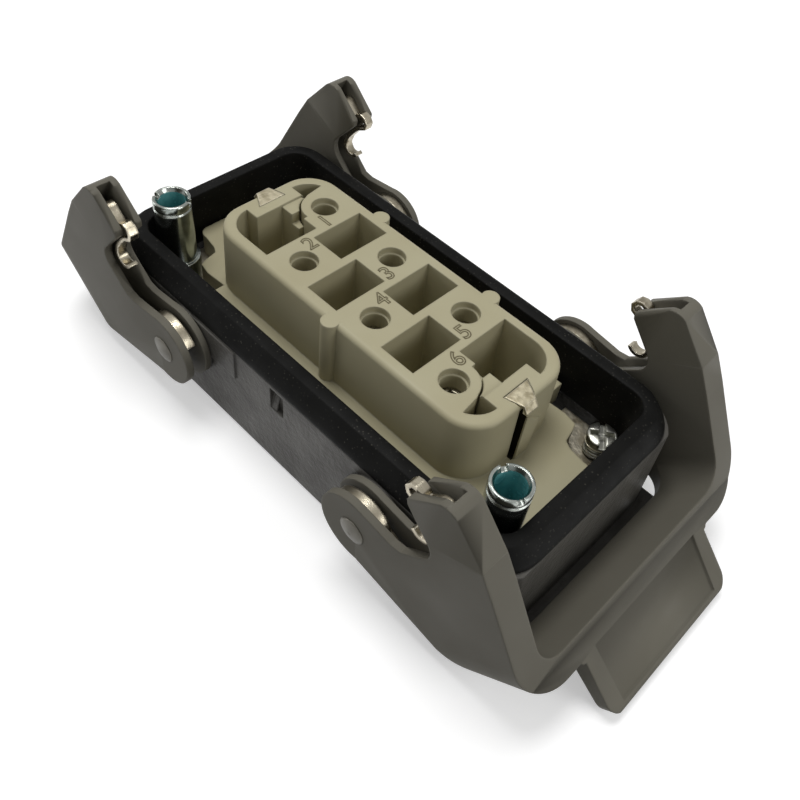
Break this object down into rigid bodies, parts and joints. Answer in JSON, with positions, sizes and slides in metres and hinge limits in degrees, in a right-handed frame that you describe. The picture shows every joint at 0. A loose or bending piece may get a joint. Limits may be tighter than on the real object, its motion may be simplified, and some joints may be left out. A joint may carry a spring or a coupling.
{
  "type": "rectangular power connector",
  "caption": "Panel-mounted rectangular power connector: housing with rim seal, insert with socket contacts and earth clips, guide bushes and forked locking levers at both ends.",
  "frame": {"origin": "centre of the base's mounting face", "axes": "+Z out of the mounting face towards the mating side, X along the housing"},
  "size_m": [0.1332, 0.0568, 0.0379],
  "materials": {
    "housing_coat": "crinkle coat",
    "lever_coat": "satin",
    "seal_rubber": "matte",
    "insulator": "moulded",
    "contact_silver": "silver plated",
    "steel": "zinc plated",
    "earth_plate": "textured",
    "spring_steel": "bright",
    "zinc": "blue zinc plated",
    "pin_steel": "satin"
  },
  "bodies": {
    "base": {"housing": "housing_coat", "rim_seal": "seal_rubber", "insert_front": "insulator", "insert_rear": "insulator", "contact_1": "contact_silver", "contact_2": "contact_silver", "contact_3": "contact_silver", "contact_4": "contact_silver", "contact_5": "contact_silver", "contact_6": "contact_silver", "terminal_screws": "steel", "earth_plate_near": "earth_plate", "earth_plate_far": "earth_plate", "earth_clip_near": "spring_steel", "earth_clip_far": "spring_steel", "earth_screws": "steel", "earth_washers": "steel", "fixing_screws": "steel", "guide_bush_near": "zinc", "guide_bush_far": "zinc", "pivot_pins": "pin_steel"},
    "near_lever": {"lever_near": "lever_coat", "spring_near_left": "spring_steel", "spring_near_right": "spring_steel"},
    "far_lever": {"lever_far": "lever_coat", "spring_far_left": "spring_steel", "spring_far_right": "spring_steel"}
  },
  "joints": [
    {"name": "near_lever_hinge", "type": "hinge", "parent": "base", "child": "near_lever", "pos_m": [0.0235, 0, 0.0133], "axis": [0, -1, 0], "range_deg": [0, 43]},
    {"name": "far_lever_hinge", "type": "hinge", "parent": "base", "child": "far_lever", "pos_m": [-0.0235, 0, 0.0133], "axis": [0, 1, 0], "range_deg": [0, 43]}
  ]
}
